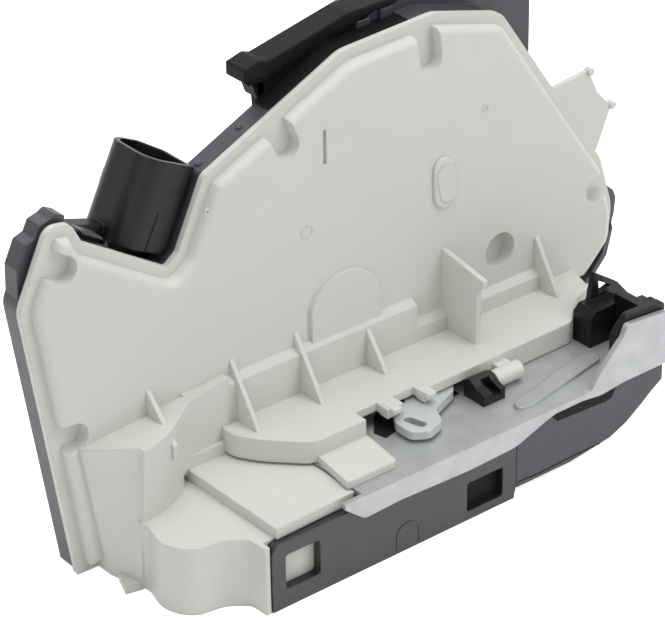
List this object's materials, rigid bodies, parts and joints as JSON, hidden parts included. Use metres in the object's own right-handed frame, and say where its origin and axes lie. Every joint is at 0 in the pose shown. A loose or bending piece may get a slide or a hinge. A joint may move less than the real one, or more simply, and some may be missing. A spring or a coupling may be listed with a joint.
{
  "type": "door latch actuator",
  "caption": "Vehicle door latch with lock drive: claw and pawl under a bent face plate, galvanised back plate, ribbed white cover, rear housing and socket.",
  "frame": {"origin": "centre of the seated striker, on the outer face of the face plate", "axes": "+X along the latch to its plain end, +Z from the face plate into the door, +Y the way the striker leaves, -Y the side of the white cover"},
  "size_m": [0.168, 0.0673, 0.1045],
  "materials": {
    "white_plastic": "satin",
    "grey_plastic": "satin",
    "black_plastic": "gloss",
    "black_steel": "satin",
    "galvanised": "satin",
    "zinc": "satin",
    "steel": "satin",
    "rubber": "matte",
    "contact": "satin",
    "gear_plastic": "satin"
  },
  "bodies": {
    "latch": {"back_plate": "galvanised", "cable_bracket": "black_plastic", "cable_channel": "white_plastic", "case_rivet": "steel", "claw_bumper": "rubber", "claw_pin": "steel", "claw_spring": "steel", "claw_switch": "black_plastic", "connector_pins": "contact", "connector_shell": "black_plastic", "end_block": "black_plastic", "end_bracket": "black_plastic", "face_plate": "black_steel", "front_clip": "black_plastic", "gasket": "rubber", "inside_lever_pin": "steel", "latch_case": "grey_plastic", "lead_frame": "contact", "lock_lever_pin": "grey_plastic", "motor_can": "galvanised", "pawl_pin": "steel", "pawl_spring": "steel", "rear_housing": "grey_plastic", "side_guard": "black_plastic", "wheel_pin": "grey_plastic", "white_cover": "white_plastic"},
    "claw": {"claw_core": "steel", "claw_jacket_lower": "black_plastic", "claw_jacket_upper": "black_plastic"},
    "pawl": {"pawl_core": "steel"},
    "outside_lever": {"outside_release_lever": "zinc"},
    "inside_lever": {"inside_release_lever": "zinc"},
    "rotor": {"motor_shaft": "steel"},
    "worm_wheel": {"worm_wheel": "gear_plastic"},
    "lock_lever": {"lock_lever": "gear_plastic"}
  },
  "joints": [
    {"name": "claw_pivot", "type": "hinge", "parent": "latch", "child": "claw", "pos_m": [-0.018, 0, 0.0092], "axis": [0, 0, 1], "range_deg": [-62, 0]},
    {"name": "pawl_pivot", "type": "hinge", "parent": "latch", "child": "pawl", "pos_m": [0.015, -0.003, 0.0092], "axis": [0, 0, 1], "range_deg": [-13, 0]},
    {"name": "outside_lever_pivot", "type": "hinge", "parent": "latch", "child": "outside_lever", "pos_m": [0.015, -0.003, 0.0214], "axis": [0, 0, 1], "range_deg": [0, 16]},
    {"name": "inside_lever_pivot", "type": "hinge", "parent": "latch", "child": "inside_lever", "pos_m": [-0.02, 0.036, 0.052], "axis": [0, 1, 0], "range_deg": [0, 25]},
    {"name": "wheel_spin", "type": "hinge", "parent": "latch", "child": "worm_wheel", "pos_m": [0.044, 0.022, 0.062], "axis": [0, 1, 0], "range_deg": [0, 100]},
    {"name": "rotor_spin", "type": "hinge", "parent": "latch", "child": "rotor", "pos_m": [0.044, 0.022, 0.0805], "axis": [1, 0, 0], "range_deg": [-3000, 0]},
    {"name": "lock_lever_pivot", "type": "hinge", "parent": "latch", "child": "lock_lever", "pos_m": [0.01802, 0.0145, 0.047], "axis": [0, 1, 0], "range_deg": [-25, 0]}
  ],
  "couplings": [
    {"joint": "rotor_spin", "follows": "wheel_spin", "ratio": -30},
    {"joint": "lock_lever_pivot", "follows": "wheel_spin", "ratio": -0.25}
  ]
}
